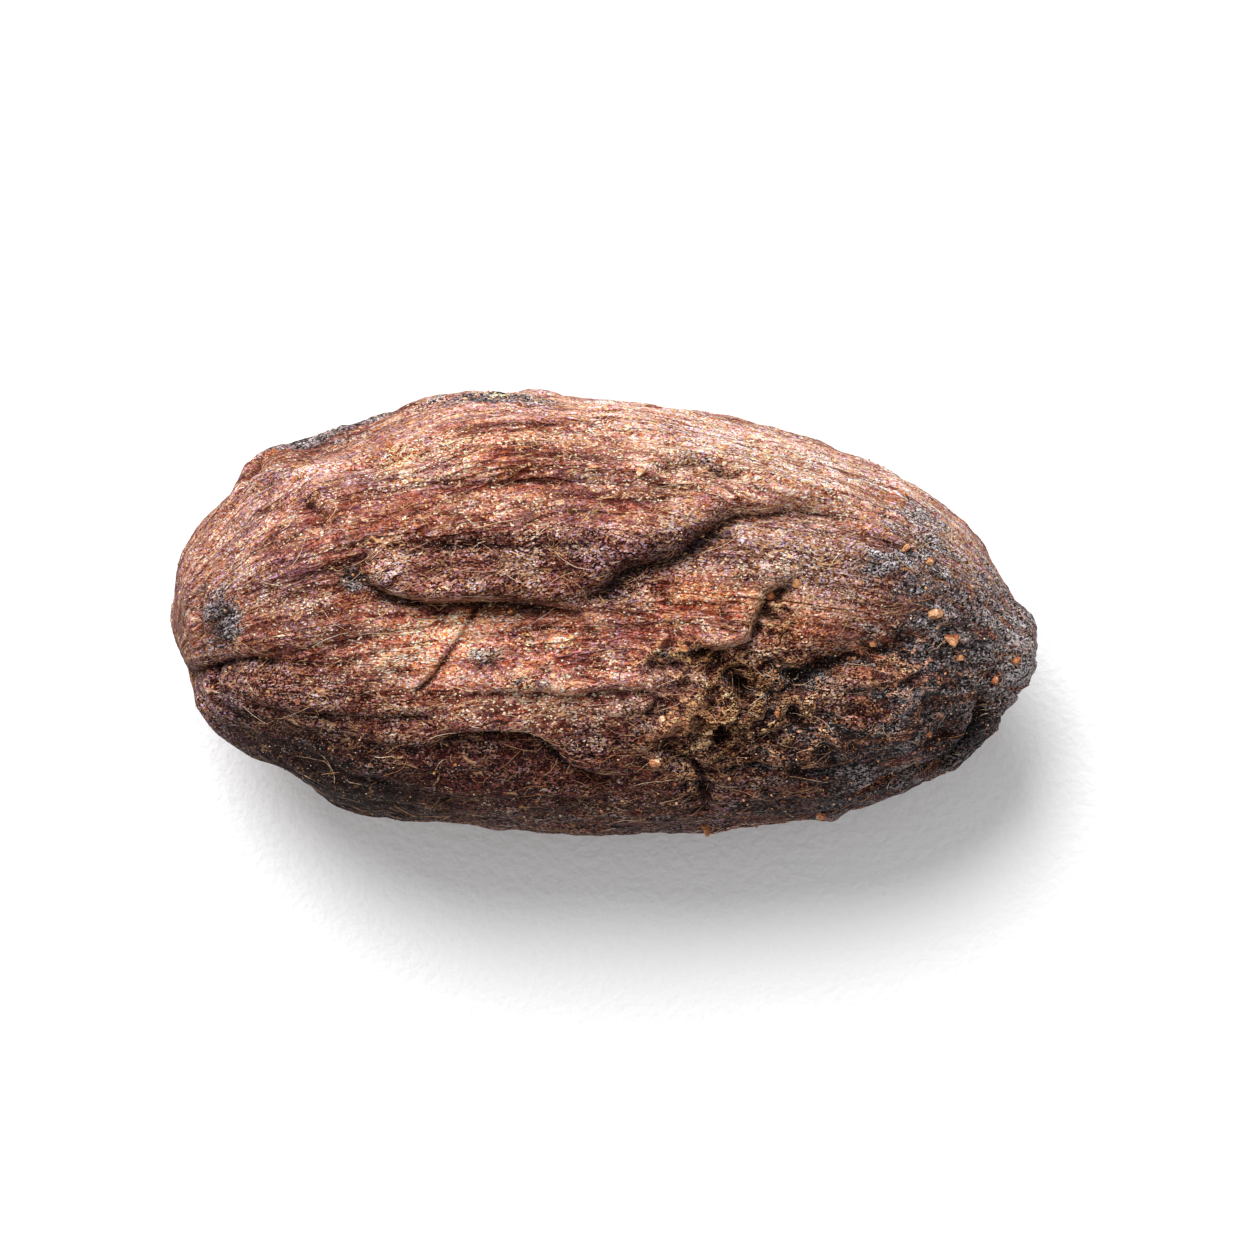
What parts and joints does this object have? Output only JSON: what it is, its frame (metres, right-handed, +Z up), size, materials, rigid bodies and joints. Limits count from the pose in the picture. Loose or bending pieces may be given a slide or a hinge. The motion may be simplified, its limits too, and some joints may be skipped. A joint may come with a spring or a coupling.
{
  "type": "cocoa bean",
  "caption": "Dried cocoa bean in its wrinkled reddish brown shell, blunt at one end and pointed at the other, with dark dried pulp crusted over the pointed half.",
  "frame": {"origin": "middle of the bean's box, on the surface that it lies on", "axes": "+X from the blunt end to the pointed end, +Z up from the broad side that it lies on"},
  "size_m": [0.0248, 0.0128, 0.0092],
  "materials": {
    "dried_shell": null
  },
  "bodies": {
    "root": {"cocoa_bean": "dried_shell"}
  },
  "joints": []
}
